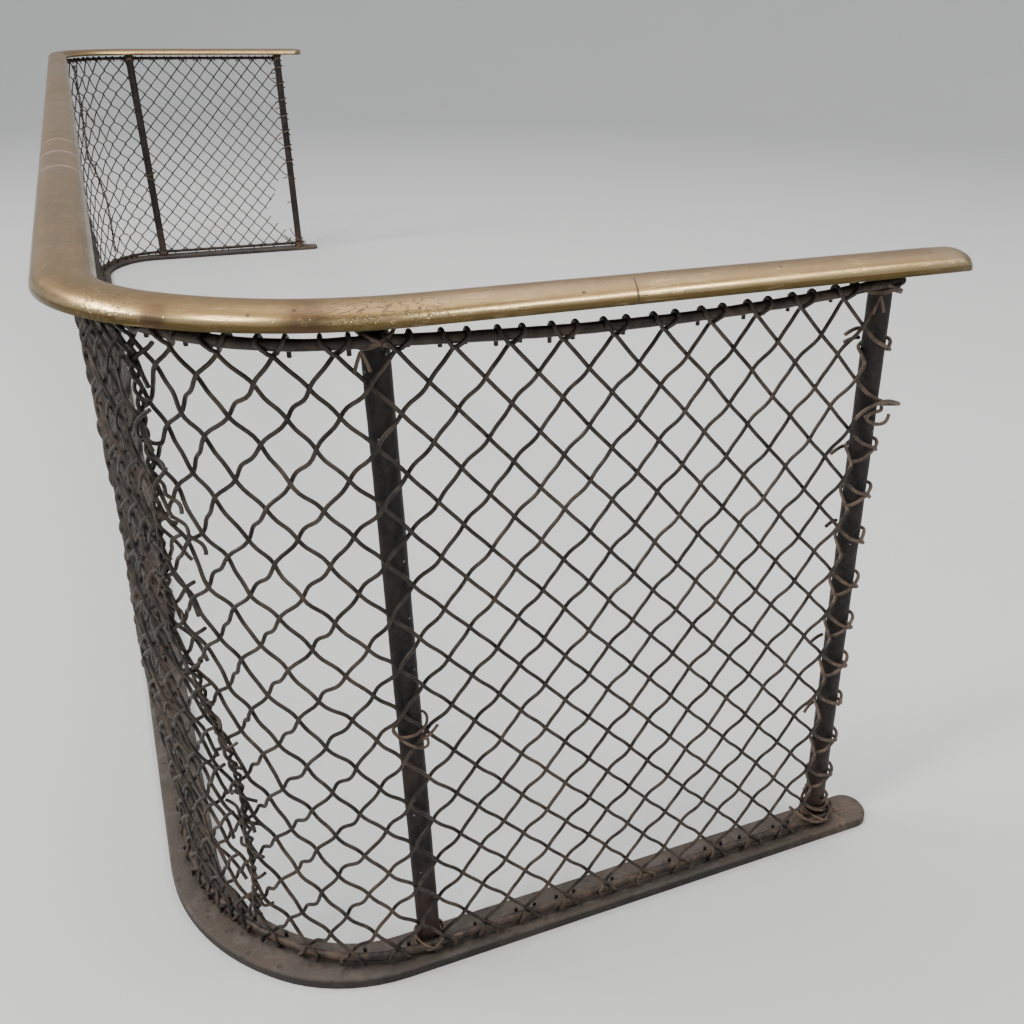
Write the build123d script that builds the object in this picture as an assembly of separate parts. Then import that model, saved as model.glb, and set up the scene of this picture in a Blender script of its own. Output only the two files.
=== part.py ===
"""Old U-shaped fireplace screen: iron base bar and posts, woven wire, half-round brass rail.

Millimetres, +Z up. X runs along the hearth, the closed front faces -Y and the back is open.
The origin is under the middle of the whole screen, on the floor.
"""

import os
from math import cos, pi, radians, sin, sqrt, tan

from build123d import *

# Overall plan
SPAN = 1378.0  # centre line to centre line of the two side arms
FRONT_TO_CORNER_POST = 84.0
CORNER_TO_END_POST = 189.5
BEND_STRAIGHT = 1.0  # between the two arcs of each corner
ROD_HEIGHT_BELOW_RAIL = 4.6  # rail underside to the centre of the top mesh rod
RAIL_HEIGHT = 260.4  # base bar top to rail underside

# Base bar, flat iron
BASE_WIDTH = 20.0
BASE_THICK = 4.7
BASE_BEND = (60.0, 102.0)  # centre line radii of each corner: beside the arm, beside the front
BASE_OVERHANG = 26.0  # past the end posts
BASE_END_RADIUS = 8.0
BASE_EDGE_RADIUS = 1.2

# Brass rail, a folded half-round sheath
RAIL_WIDTH = 20.6
RAIL_DOME = 7.2
RAIL_WALL = 1.0
RAIL_BEND = (104.0, 72.0)
RAIL_OVERHANG = 34.0
LIP_GAP = 12.4  # between the two folded lips underneath
CAP_LENGTH = 15.0
CAP_INNER_RADIUS = 13.0  # plan radius of the cap's hearth-side corner
CAP_OUTER_RADIUS = 5.0

# Iron core strip inside the rail
CORE_WIDTH = 15.2
CORE_THICK = 2.4
CORE_SETBACK = CAP_LENGTH + 1.0
CORE_END_RADIUS = 1.0

# Posts and their riveted tenons
POST_RADIUS = 4.75
POST_INSET = 2.5  # from the bar's centre line towards the hearth
TENON_RADIUS = 3.0
TENON_CLEARANCE = 0.05
SINK_RADIUS = 4.4  # countersunk rivet under the base bar
SINK_DEPTH = 1.5
RIVET_RADIUS = 4.2
RIVET_HEIGHT = 1.6

# Mesh rods, ties and woven wire stand-ins
ROD_RADIUS = 2.0
ROD_GAP = 0.15
ROD_OFFSET = POST_RADIUS + ROD_GAP + ROD_RADIUS - POST_INSET  # outside the arms' centre line
TOP_ROD_FRONT = -1.7  # outside the front's centre line
LOW_ROD_FRONT = 0.7
ROD_PAST_POST = 5.0
LOW_ROD_HEIGHT = 3.7  # base bar top to the centre of the bottom rod
TIE_RADIUS = 0.7
TIE_GAP = 0.03
MESH_BEND = FRONT_TO_CORNER_POST
MESH_THICK = 1.2
MESH_FRONT = 0.8  # sheet's middle, outside the front's centre line
MESH_ROD_GAP = 0.3
MESH_PAST_POST = 3.0
LACE_RADIUS = 0.75
LACE_GAP = 0.05
LACE_ANGLE = 45.0  # place of the lacing round the corner bend
BAND_HEIGHT = 95.0  # the loose tie part-way up each corner post

# Places worked out from the above
ARM_X = SPAN / 2
DEPTH = RAIL_WIDTH / 2 + FRONT_TO_CORNER_POST + CORNER_TO_END_POST + RAIL_OVERHANG
FRONT_Y = -DEPTH / 2 + RAIL_WIDTH / 2
CORNER_POST_Y = FRONT_Y + FRONT_TO_CORNER_POST
END_POST_Y = CORNER_POST_Y + CORNER_TO_END_POST
RAIL_Z = BASE_THICK + RAIL_HEIGHT
CORE_Z = RAIL_Z + RAIL_WALL
TOP_ROD_Z = RAIL_Z - ROD_HEIGHT_BELOW_RAIL
LOW_ROD_Z = BASE_THICK + LOW_ROD_HEIGHT
MESH_LOW_Z = LOW_ROD_Z + ROD_RADIUS + MESH_ROD_GAP
MESH_TOP_Z = TOP_ROD_Z - ROD_RADIUS - MESH_ROD_GAP
SIDES = {"right": 1, "left": -1}
POSTS = {
    f"{place}_post_{side}": (sign * x, y)
    for side, sign in SIDES.items()
    for place, x, y in (
        ("corner", ARM_X - POST_INSET, CORNER_POST_Y),
        ("end", ARM_X - POST_INSET, END_POST_Y),
    )
}
MESH_CENTRE = (ARM_X + ROD_OFFSET - MESH_BEND, FRONT_Y - MESH_FRONT + MESH_BEND)  # of the bend, in plan

ON_FLOOR = (Align.CENTER, Align.CENTER, Align.MIN)
CLOSE = 0.1  # for picking corners by their place

os.makedirs("parts", exist_ok=True)


def save(shape, node):
    """Write one sub-part."""
    export_step(shape, f"parts/{node}.step")


def u_path(arm_offset, front_offset, bend, end_y, z):
    """The screen's U in plan, from the right end round to the left end.

    Each corner turns in two arcs of 45 degrees, one beside the arm and one beside the front,
    with a short straight between them.
    """
    x = ARM_X + arm_offset
    y = FRONT_Y - front_offset
    arm_radius, front_radius = bend
    chamfer = ((arm_radius + front_radius) * tan(pi / 8) + BEND_STRAIGHT) / sqrt(2)
    right = [(x, end_y, z), (x, y + chamfer, z), (x - chamfer, y, z)]
    left = [(-px, py, pz) for px, py, pz in reversed(right)]
    radii = [arm_radius, front_radius, front_radius, arm_radius]
    return FilletPolyline(*right, *left, radius=radii)


def beside(offset, bend, end_y):
    """The U this far outside the centre line, and parallel to it."""
    return u_path(offset, offset, [radius + offset for radius in bend], end_y, 0)


def swept(section, bend, end_y, z):
    """Carry a section, drawn outwards along its X and up its Y, round the U."""
    start = Plane(origin=(ARM_X, end_y, z), x_dir=(1, 0, 0), z_dir=(0, -1, 0))
    return sweep(start * section, path=u_path(0, 0, bend, end_y, z))


def bar(width, thick, bend, end_y, end_radius, z):
    """A flat bar bent edgeways into the U, with rounded corners at its two ends."""
    outer = beside(width / 2, bend, end_y)
    inner = beside(-width / 2, bend, end_y)
    ends = [Line(outer @ end, inner @ end) for end in (0, 1)]
    face = make_face([*outer.edges(), *inner.edges(), *ends])
    corners = [v for v in face.vertices() if abs(v.Y - end_y) < CLOSE]
    return Pos(0, 0, z) * extrude(fillet(corners, end_radius), thick)


def base_bar():
    """Flat iron foot of the screen, drilled and countersunk for the posts."""
    body = bar(BASE_WIDTH, BASE_THICK, BASE_BEND, END_POST_Y + BASE_OVERHANG, BASE_END_RADIUS, 0)
    body = fillet(body.faces().sort_by(Axis.Z)[-1].edges(), BASE_EDGE_RADIUS)
    for x, y in POSTS.values():
        hole = Cylinder(TENON_RADIUS + TENON_CLEARANCE, BASE_THICK, align=ON_FLOOR)
        sink = Cone(SINK_RADIUS, TENON_RADIUS + TENON_CLEARANCE, SINK_DEPTH, align=ON_FLOOR)
        body -= Pos(x, y, 0) * (hole + sink)
    return body


def rail_core():
    """Iron strip inside the brass rail, which the posts are riveted to."""
    end_y = END_POST_Y + RAIL_OVERHANG - CORE_SETBACK
    body = bar(CORE_WIDTH, CORE_THICK, RAIL_BEND, end_y, CORE_END_RADIUS, CORE_Z)
    for x, y in POSTS.values():
        hole = Cylinder(TENON_RADIUS + TENON_CLEARANCE, CORE_THICK, align=ON_FLOOR)
        body -= Pos(x, y, CORE_Z) * hole
    return body


def half_round(width, height, floor):
    """Half an ellipse standing on a flat floor line."""
    ellipse = Ellipse(width / 2, height)
    above = Pos(0, floor + height) * Rectangle(2 * width, 2 * height)
    return ellipse & above


def brass_rail():
    """Half-round brass sheath, folded under the core strip with a slot between its lips."""
    outside = half_round(RAIL_WIDTH, RAIL_DOME, 0)
    inside = half_round(RAIL_WIDTH - 2 * RAIL_WALL, RAIL_DOME - RAIL_WALL, RAIL_WALL)
    slot = Rectangle(LIP_GAP, 3 * RAIL_WALL)
    end_y = END_POST_Y + RAIL_OVERHANG - CAP_LENGTH
    return swept(outside - inside - slot, RAIL_BEND, end_y, RAIL_Z)


def rail_cap(sign):
    """Closed end of the brass rail, with its hearth-side corner rounded well off."""
    start_y = END_POST_Y + RAIL_OVERHANG - CAP_LENGTH
    plane = Plane(origin=(sign * ARM_X, start_y, RAIL_Z), x_dir=(-1, 0, 0), z_dir=(0, 1, 0))
    block = extrude(plane * half_round(RAIL_WIDTH, RAIL_DOME, 0), CAP_LENGTH)
    half = RAIL_WIDTH / 2
    plan = Pos(sign * ARM_X, start_y + CAP_LENGTH / 2) * Rectangle(RAIL_WIDTH, CAP_LENGTH)
    far = plan.vertices().group_by(Axis.Y)[-1]
    inner = min(far, key=lambda v: sign * v.X)
    plan = fillet([inner], CAP_INNER_RADIUS)
    outer_x = sign * (ARM_X + half)
    outer = [v for v in plan.vertices() if abs(v.X - outer_x) < CLOSE and v.Y > start_y + CLOSE]
    plan = fillet(outer, CAP_OUTER_RADIUS)
    return block & (Pos(0, 0, RAIL_Z) * extrude(plan, RAIL_DOME))


def post(x, y):
    """Round post with a countersunk rivet below and a headed rivet inside the rail."""
    core_top = CORE_Z + CORE_THICK
    body = Cylinder(TENON_RADIUS, core_top, align=ON_FLOOR)
    sunk = (SINK_RADIUS - TENON_CLEARANCE, TENON_RADIUS, SINK_DEPTH - TENON_CLEARANCE)
    body += Cone(*sunk, align=ON_FLOOR)
    body += Pos(0, 0, BASE_THICK) * Cylinder(POST_RADIUS, RAIL_HEIGHT, align=ON_FLOOR)
    head = Cone(RIVET_RADIUS, RIVET_RADIUS / 2, RIVET_HEIGHT, align=ON_FLOOR)
    body += Pos(0, 0, core_top) * head
    return Pos(x, y, 0) * body


def mesh_rod(z, front_offset):
    """Round rod that carries one edge of the woven wire, straight past the posts, then bent."""
    end_y = END_POST_Y + ROD_PAST_POST
    radius = FRONT_TO_CORNER_POST + front_offset - BEND_STRAIGHT
    path = u_path(ROD_OFFSET, front_offset, (radius, radius), end_y, z)
    start = Plane(origin=(ARM_X + ROD_OFFSET, end_y, z), z_dir=(0, -1, 0))
    return sweep(start * Circle(ROD_RADIUS), path=path)


def ties(posts, z):
    """Binding wire, one closed ring round each of these posts."""
    ring = TIE_RADIUS + TIE_GAP + POST_RADIUS
    return Compound(children=[Pos(*POSTS[name], z) * Torus(ring, TIE_RADIUS) for name in posts])


def mesh_corner(sign):
    """Sheet the size of the woven wire round one corner."""
    x, y = MESH_CENTRE
    ring = Circle(MESH_BEND + MESH_THICK / 2) - Circle(MESH_BEND - MESH_THICK / 2)
    reach = 2 * MESH_BEND
    quarter = Pos(sign * reach / 2, -reach / 2) * Rectangle(reach, reach)
    sheet = extrude(ring & quarter, MESH_TOP_Z - MESH_LOW_Z)
    return Pos(sign * x, y, MESH_LOW_Z) * sheet


def mesh_side(sign):
    """Sheet the size of the woven wire along one side arm."""
    low_y, high_y = MESH_CENTRE[1], END_POST_Y + MESH_PAST_POST
    x = sign * (ARM_X + ROD_OFFSET)
    sheet = Box(MESH_THICK, high_y - low_y, MESH_TOP_Z - MESH_LOW_Z)
    return Pos(x, (low_y + high_y) / 2, (MESH_LOW_Z + MESH_TOP_Z) / 2) * sheet


def mesh_front():
    """Sheet the size of the woven wire along the front."""
    y = FRONT_Y - MESH_FRONT
    sheet = Box(2 * MESH_CENTRE[0], MESH_THICK, MESH_TOP_Z - MESH_LOW_Z)
    return Pos(0, y, (MESH_LOW_Z + MESH_TOP_Z) / 2) * sheet


def mesh_lacing(sign):
    """Wire that laces the front mesh to the side mesh, up the corner bend."""
    reach = MESH_BEND + MESH_THICK / 2 + LACE_GAP + LACE_RADIUS
    angle = radians(LACE_ANGLE)
    x = MESH_CENTRE[0] + reach * cos(angle)
    y = MESH_CENTRE[1] - reach * sin(angle)
    wire = Cylinder(LACE_RADIUS, MESH_TOP_Z - MESH_LOW_Z, align=ON_FLOOR)
    return Pos(sign * x, y, MESH_LOW_Z) * wire


save(base_bar(), "base_bar")
save(rail_core(), "rail_core")
save(brass_rail(), "brass_rail")
for name, place in POSTS.items():
    save(post(*place), name)
save(mesh_rod(TOP_ROD_Z, TOP_ROD_FRONT), "top_mesh_rod")
save(mesh_rod(LOW_ROD_Z, LOW_ROD_FRONT), "bottom_mesh_rod")
save(ties(POSTS, TOP_ROD_Z - ROD_RADIUS - TIE_RADIUS), "top_rod_ties")
save(ties(POSTS, LOW_ROD_Z + ROD_RADIUS + TIE_RADIUS), "bottom_rod_ties")
save(ties([f"corner_post_{side}" for side in SIDES], BAND_HEIGHT), "corner_post_bands")
save(mesh_front(), "mesh_front")
for side, sign in SIDES.items():
    save(rail_cap(sign), f"rail_cap_{side}")
    save(mesh_corner(sign), f"mesh_corner_{side}")
    save(mesh_side(sign), f"mesh_side_{side}")
    save(mesh_lacing(sign), f"mesh_lacing_{side}")
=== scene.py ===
"""Looks of the old fireplace screen: woven wire, iron bars and the brass rail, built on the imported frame.

Metres, +Z up. X runs along the hearth, the closed front faces -Y and the open back faces +Y.
"""

import math
import random

import bpy
from mathutils import Matrix, Vector, noise


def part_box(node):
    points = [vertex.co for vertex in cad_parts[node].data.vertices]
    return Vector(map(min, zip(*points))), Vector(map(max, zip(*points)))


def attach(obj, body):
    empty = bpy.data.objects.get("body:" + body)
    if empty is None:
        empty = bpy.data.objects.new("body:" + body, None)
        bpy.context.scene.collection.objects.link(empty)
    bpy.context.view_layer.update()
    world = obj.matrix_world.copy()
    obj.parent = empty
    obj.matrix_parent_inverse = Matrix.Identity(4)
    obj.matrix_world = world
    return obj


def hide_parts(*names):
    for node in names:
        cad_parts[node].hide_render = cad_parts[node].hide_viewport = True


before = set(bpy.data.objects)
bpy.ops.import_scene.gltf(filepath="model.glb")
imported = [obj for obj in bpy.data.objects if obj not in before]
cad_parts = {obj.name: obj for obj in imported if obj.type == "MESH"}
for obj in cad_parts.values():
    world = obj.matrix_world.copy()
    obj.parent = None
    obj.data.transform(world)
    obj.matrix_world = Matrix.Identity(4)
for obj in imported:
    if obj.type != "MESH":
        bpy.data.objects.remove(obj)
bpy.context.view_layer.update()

MM = 0.001
BODY = "root"
SIDES = {"right": 1, "left": -1}

# Sizes of the real pieces that the frame's boxes don't give
BEND_STRAIGHT = 1.0 * MM  # between the two arcs of each corner
BASE_BEND = (60 * MM, 102 * MM)  # beside the arm, beside the front
RAIL_BEND = (104 * MM, 72 * MM)
ROD_BEND = (62 * MM, 123 * MM)
TOP_ROD_FRONT = -1.7 * MM  # outside the front's centre line
LOW_ROD_FRONT = 0.7 * MM
RAIL_WALL = 1.0 * MM
LIP_HALF = 6.2 * MM
END_SOLID = 15 * MM  # how much of each rail end is hammered shut
WIRE = 0.77 * MM  # wire radius
ROD = 1.9 * MM
TIE_WIRE = 0.6 * MM
ROWS = 24  # half diamonds from the bottom rod to the top rod
CELL = 18.2 * MM  # across one diamond
APEX_DROP = 3.1 * MM  # rod centre to the last crossing of the weave
WIRE_END = 7.5 * MM  # how far before an end post's centre the woven wires leave the weave
HOOK_ROWS = 2.0  # length of wire kept for each hook, counted in rows
HOOK_TURN = math.radians(197)  # how far round its rod a wire is hooked
FOOT_TURN = math.radians(37)  # the same where it ends as a foot on the bar
HOOK_START = math.radians(62)  # where on the rod it arrives
NOISE_HEIGHT = 0.25  # the mesh's rough height, for patterns only

# Places read from the frame
_, base_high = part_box("base_bar")
rail_low, rail_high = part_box("brass_rail")
_, cap_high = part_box("rail_cap_right")
post_low, post_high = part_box("corner_post_right")
rod_low, rod_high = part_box("top_mesh_rod")
low_rod_low, low_rod_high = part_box("bottom_mesh_rod")
band_low, band_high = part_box("corner_post_bands")
RAIL_DOME = rail_high.z - rail_low.z
RAIL_HALF = RAIL_DOME * 10.3 / 7.2  # the sheath is 20.6 mm wide and 7.2 mm high
ARM_X = rail_high.x - RAIL_HALF
FRONT_Y = rail_low.y + RAIL_HALF
BASE_HALF = base_high.x - ARM_X
BASE_TOP = base_high.z
BASE_END_Y = base_high.y
RAIL_Z = rail_low.z
RAIL_END_Y = cap_high.y
TOP_ROD_Z = (rod_low.z + rod_high.z) / 2
LOW_ROD_Z = (low_rod_low.z + low_rod_high.z) / 2
ROD_OFFSET = rod_high.x - (rod_high.z - rod_low.z) / 2 - ARM_X
ROD_END_Y = rod_high.y
POST_RADIUS = (post_high.x - post_low.x) / 2
POSTS = {name: sum(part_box(name), Vector()) / 2
         for name in (f"{place}_post_{side}" for side in SIDES for place in ("corner", "end"))}
POST_X = POSTS["end_post_right"].x
CORNER_Y = POSTS["corner_post_right"].y
END_Y = POSTS["end_post_right"].y


# ---------------------------------------------------------------- building by formula


class PlanPath:
    """The screen's U in plan, measured from its right-hand end.

    Each corner is two arcs of 45 degrees with a short straight between them. The offsets are
    how far the line runs outside the centre line, along the arms and along the front.
    """

    def __init__(self, arm_offset, front_offset, bend, end_y):
        first, second = bend
        eighth = math.tan(math.pi / 8)
        self.x, self.end_y = ARM_X + arm_offset, end_y
        chamfer = ((first + second) * eighth + BEND_STRAIGHT) / math.sqrt(2)
        self.steps = [
            (end_y - FRONT_Y + front_offset - chamfer - first * eighth, 0),
            (first * math.pi / 4, first),
            (BEND_STRAIGHT, 0),
            (second * math.pi / 4, second),
            (self.x - chamfer - second * eighth, 0),
        ]
        self.length = 2 * sum(length for length, _ in self.steps)

    def at(self, run):
        """Point in plan and outward direction, this far along."""
        side = 1 if run <= self.length / 2 else -1
        left = min(run, self.length - run)
        x, y, turned = self.x, self.end_y, 0.0
        for length, radius in self.steps:
            part = min(left, length)
            if radius:
                more = turned + part / radius
                x += radius * (math.cos(more) - math.cos(turned))
                y -= radius * (math.sin(more) - math.sin(turned))
                turned = more
            else:
                x -= part * math.sin(turned)
                y -= part * math.cos(turned)
            left -= part
            if left <= 0:
                break
        return Vector((side * x, y, 0)), Vector((side * math.cos(turned), -math.sin(turned), 0))


def stations(total, step, end_zone, end_steps):
    """Distances along a bar: closer together in the rounded zone at each end."""
    near = [end_zone * (1 - math.cos(math.pi / 2 * i / end_steps)) for i in range(end_steps)]
    count = math.ceil((total - 2 * end_zone) / step)
    middle = [end_zone + (total - 2 * end_zone) * i / count for i in range(count + 1)]
    return near + middle + [total - d for d in reversed(near)]


def loft(name, rings, material):
    """Skin of quads through rings of points, closed at both ends, with a map of length and girth."""
    size = len(rings[0])
    points = [p for ring in rings for p in ring]
    faces = []
    for r in range(len(rings) - 1):
        for i in range(size):
            j = (i + 1) % size
            a, b = r * size, (r + 1) * size
            faces.append((a + i, a + j, b + j, b + i))
    faces.append(tuple(reversed(range(size))))
    faces.append(tuple(range(len(points) - size, len(points))))
    mesh = bpy.data.meshes.new(name)
    mesh.from_pydata(points, [], faces)
    middle = rings[len(rings) // 2]
    around, along = [0], [0]
    for k in range(size):
        around.append(around[-1] + (middle[(k + 1) % size] - middle[k]).length)
    for r in range(1, len(rings)):
        along.append(along[-1] + (rings[r][0] - rings[r - 1][0]).length)
    uv = mesh.uv_layers.new(name="run")
    for face in mesh.polygons:
        wraps = face.index < (len(rings) - 1) * size and face.index % size == size - 1
        for loop in face.loop_indices:
            ring, spot = divmod(mesh.loops[loop].vertex_index, size)
            spot = size if wraps and spot == 0 else spot
            uv.data[loop].uv = (along[ring], around[spot])
    return finish_mesh(name, mesh, material)


def finish_mesh(name, mesh, material):
    """Make an object of a mesh, outward, smooth, sharp only at its real edges."""
    mesh.validate()
    volume = 0.0
    for face in mesh.polygons:
        corners = [mesh.vertices[v].co for v in face.vertices]
        for i in range(1, len(corners) - 1):
            volume += corners[0].dot(corners[i].cross(corners[i + 1]))
    if volume < 0:
        mesh.flip_normals()
    for face in mesh.polygons:
        face.use_smooth = True
    mesh.set_sharp_from_angle(angle=math.radians(50))
    mesh.materials.clear()
    mesh.materials.append(material)
    piece = bpy.data.objects.new(name, mesh)
    bpy.context.scene.collection.objects.link(piece)
    return piece


def rough(point, scale, seed):
    """Smooth signed noise, about -1 to 1, at a place."""
    return noise.noise(Vector((point.x, point.y, point.z + seed)) * scale)


def tube(name, paths, radius, sides, material):
    """Round bent wires, one smooth curve through each list of points, as one closed mesh."""
    points, faces = [], []
    for path in paths:
        curve = bpy.data.curves.new(name, "CURVE")
        curve.dimensions = "3D"
        curve.bevel_depth = radius
        curve.bevel_resolution = max(0, sides // 2 - 2)
        curve.resolution_u = 4
        curve.use_fill_caps = True
        spline = curve.splines.new("NURBS")
        spline.points.add(len(path) - 1)
        for point, place in zip(spline.points, path):
            point.co = (*place, 1)
        spline.order_u = 3
        spline.use_endpoint_u = True
        holder = bpy.data.objects.new(name, curve)
        mesh = bpy.data.meshes.new_from_object(holder)
        start = len(points)
        points += [v.co.copy() for v in mesh.vertices]
        faces += [tuple(start + v for v in f.vertices) for f in mesh.polygons]
        bpy.data.objects.remove(holder)
        bpy.data.meshes.remove(mesh)
        bpy.data.curves.remove(curve)
    joined = bpy.data.meshes.new(name)
    joined.from_pydata(points, [], faces)
    return finish_mesh(name, joined, material)


def keep(piece, slot, *nodes):
    """Hang a finished piece on the frame."""
    if nodes:
        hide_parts(*nodes)
    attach(piece, BODY)
    return piece


# ---------------------------------------------------------------- node formulas


class Number:
    """A number inside a node tree, so that node formulas can be written as sums."""

    def __init__(self, tree, socket):
        self.tree = tree
        self.socket = socket

    def sum(self, operation, *others):
        node = self.tree.nodes.new("ShaderNodeMath")
        node.operation = operation
        for slot, value in zip(node.inputs, (self, *others)):
            plug(self.tree, slot, value)
        return Number(self.tree, node.outputs[0])

    def __add__(self, other):
        return self.sum("ADD", other)

    def __sub__(self, other):
        return self.sum("SUBTRACT", other)

    def __mul__(self, other):
        return self.sum("MULTIPLY", other)

    def __truediv__(self, other):
        return self.sum("DIVIDE", other)

    def __neg__(self):
        return self * -1

    __radd__ = __add__
    __rmul__ = __mul__

    def __rsub__(self, other):
        return -self + other

    def size(self):
        return self.sum("ABSOLUTE")

    def clamp(self, low=0.0, high=1.0):
        return self.sum("MAXIMUM", low).sum("MINIMUM", high)

    def ramp(self, start, stop):
        """0 at start, 1 at stop, eased between."""
        node = self.tree.nodes.new("ShaderNodeMapRange")
        node.interpolation_type = "SMOOTHSTEP"
        plug(self.tree, node.inputs[0], self)
        plug(self.tree, node.inputs[1], start)
        plug(self.tree, node.inputs[2], stop)
        return Number(self.tree, node.outputs[0])


def plug(tree, slot, value):
    """Give a node's input a link or a fixed value."""
    if isinstance(value, Number):
        value = value.socket
    if isinstance(value, bpy.types.NodeSocket):
        tree.links.new(value, slot)
    elif value is not None:
        slot.default_value = value


def add(tree, kind, values=None, **settings):
    """Add a node; values are its inputs by name or number."""
    node = tree.nodes.new(kind)
    for key, value in settings.items():
        setattr(node, key, value)
    for key, value in (values or {}).items():
        plug(tree, node.inputs[key], value)
    return node


def vector(tree, operation, a, b=None):
    """Vector sum; a length or a scale is a number."""
    node = add(tree, "ShaderNodeVectorMath", operation=operation)
    plug(tree, node.inputs[0], a)
    if operation == "SCALE":
        plug(tree, node.inputs["Scale"], b)
    elif b is not None:
        plug(tree, node.inputs[1], b)
    return node.outputs[1 if operation in ("LENGTH", "DOT_PRODUCT") else 0]


def lift(tree, height):
    """Vector that points up by a number."""
    return add(tree, "ShaderNodeCombineXYZ", {2: height}).outputs[0]


def socket(tree, name, kind, default=None, out=False):
    """Named input or output of a node group."""
    made = tree.interface.new_socket(
        name=name, in_out="OUTPUT" if out else "INPUT", socket_type=f"NodeSocket{kind}")
    if default is not None:
        made.default_value = default
    return made


# ---------------------------------------------------------------- woven wire


def weave_tree():
    """Geometry nodes that weave one family of leaning wires between the two mesh rods."""
    tree = bpy.data.node_groups.new("leaning wires", "GeometryNodeTree")
    socket(tree, "Mesh", "Geometry")
    socket(tree, "Rods", "Object")
    for name, kind, value in (
        ("Wires", "Int", 10), ("First Wire", "Float", 0.0), ("Lean", "Float", 1.0),
        ("Rows", "Int", ROWS), ("Steps", "Int", 5), ("Sides", "Int", 6),
        ("Cell", "Float", CELL), ("Length", "Float", 1.8), ("Wire Radius", "Float", WIRE),
        ("Rod Radius", "Float", ROD), ("Apex Drop", "Float", APEX_DROP),
        ("Crimp", "Float", 0.001), ("Ripple", "Float", 0.0003), ("Low Ripple", "Float", 0.0002),
        ("Wander", "Float", 0.001), ("Corner Dent", "Float", 0.003), ("Corner Run", "Float", 0.25),
        ("Belly", "Float", 0.003), ("Hook Rows", "Float", HOOK_ROWS),
        ("Hook Tail", "Float", 0.005), ("Start Run", "Float", WIRE_END), ("Stop Run", "Float", 1.8),
        ("Proud", "Float", 0.0), ("Tear Width", "Float", 0.0), ("Tear Apex", "Float", 0.05),
        ("Tear Top", "Float", 0.11), ("Seed", "Int", 1),
    ):
        socket(tree, name, kind, value)
    socket(tree, "Material", "Material")
    socket(tree, "Mesh", "Geometry", out=True)
    given = add(tree, "NodeGroupInput")
    take = {s.name: Number(tree, s) for s in given.outputs if s.name}
    rows, hook, length = take["Rows"], take["Hook Rows"], take["Length"]

    # One straight line for each wire, cut into even steps
    line = add(tree, "GeometryNodeCurvePrimitiveLine")
    steps = (rows + 2 * hook) * take["Steps"]
    cut = add(tree, "GeometryNodeResampleCurve", {"Curve": line.outputs[0], "Count": steps})
    many = add(tree, "GeometryNodeDuplicateElements",
               {"Geometry": cut.outputs[0], "Amount": take["Wires"]}, domain="SPLINE")
    wire_number = Number(tree, many.outputs["Duplicate Index"])
    share = Number(tree, add(tree, "GeometryNodeSplineParameter").outputs["Factor"])
    row = share * (rows + 2 * hook) - hook
    level = (row / rows).clamp()
    on_mesh = row.ramp(-0.2, 1.2) * (1 - row.ramp(rows - 1.2, rows + 0.2))

    # Where the wire runs: along the U, and how far up
    lean_row = row.clamp(-0.45, rows + 0.45) - rows / 2
    run = (take["First Wire"] + wire_number + take["Lean"] * lean_row / 2) * take["Cell"]
    place = add(tree, "ShaderNodeCombineXYZ", {0: run, 1: level * NOISE_HEIGHT})
    drift = add(tree, "ShaderNodeTexNoise",
                {"Vector": place.outputs[0], "W": take["Seed"] * 1.7, "Scale": 22.0, "Detail": 2.0},
                noise_dimensions="4D")
    shove = add(tree, "ShaderNodeSeparateXYZ", {0: drift.outputs["Color"]})
    corner = take["Corner Run"]
    near_corner = (2 - (run - corner).size().ramp(0.012, 0.075)
                   - (run - length + corner).size().ramp(0.012, 0.075))
    wander = take["Wander"] * (1 + near_corner * 2.2) * on_mesh
    along, up_down, in_out = ((Number(tree, s) - 0.5) * 2 for s in shove.outputs)
    run = run + along * wander
    rise = up_down * wander
    wave = take["Ripple"] + take["Low Ripple"] * (1 - level) + near_corner * 0.25 * MM
    ripple = (row * math.tau).sum("SINE") * wave * on_mesh
    run = run - take["Lean"] * ripple
    rise = rise + ripple
    bulge = in_out * (wander + near_corner * take["Corner Dent"] * on_mesh)
    front = (run.ramp(corner, corner + 0.12)
             * (1 - run.ramp(length - corner - 0.12, length - corner)))
    low_third = 1 - ((level - 0.34) / 0.34).size().clamp()
    bulge = bulge + front * low_third.ramp(0.0, 1.0) * take["Belly"] + take["Proud"] * on_mesh

    # Points on the two rods at that run
    rods = add(tree, "GeometryNodeObjectInfo", {"Object": take["Rods"]})
    low_rod, high_rod = (
        add(tree, "GeometryNodeSampleCurve",
            {"Curves": rods.outputs["Geometry"], "Factor": run / length, "Curve Index": rod},
            mode="FACTOR", use_all_curves=False)
        for rod in (0, 1))
    low, high = low_rod.outputs["Position"], high_rod.outputs["Position"]
    out = vector(tree, "CROSS_PRODUCT", (0.0, 0.0, 1.0), low_rod.outputs["Tangent"])
    out = vector(tree, "NORMALIZE", out)

    # The weave itself: over and under at each crossing
    mix = add(tree, "ShaderNodeMix", {"Factor": level}, data_type="VECTOR")
    plug(tree, mix.inputs[4], vector(tree, "ADD", low, lift(tree, take["Apex Drop"])))
    plug(tree, mix.inputs[5], vector(tree, "SUBTRACT", high, lift(tree, take["Apex Drop"])))
    crimp = (row * math.pi).sum("COSINE") * take["Crimp"] * (1 + near_corner * 0.9)
    position = vector(tree, "ADD", mix.outputs[1], vector(tree, "SCALE", out, crimp + bulge))
    position = vector(tree, "ADD", position, lift(tree, rise))

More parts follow.
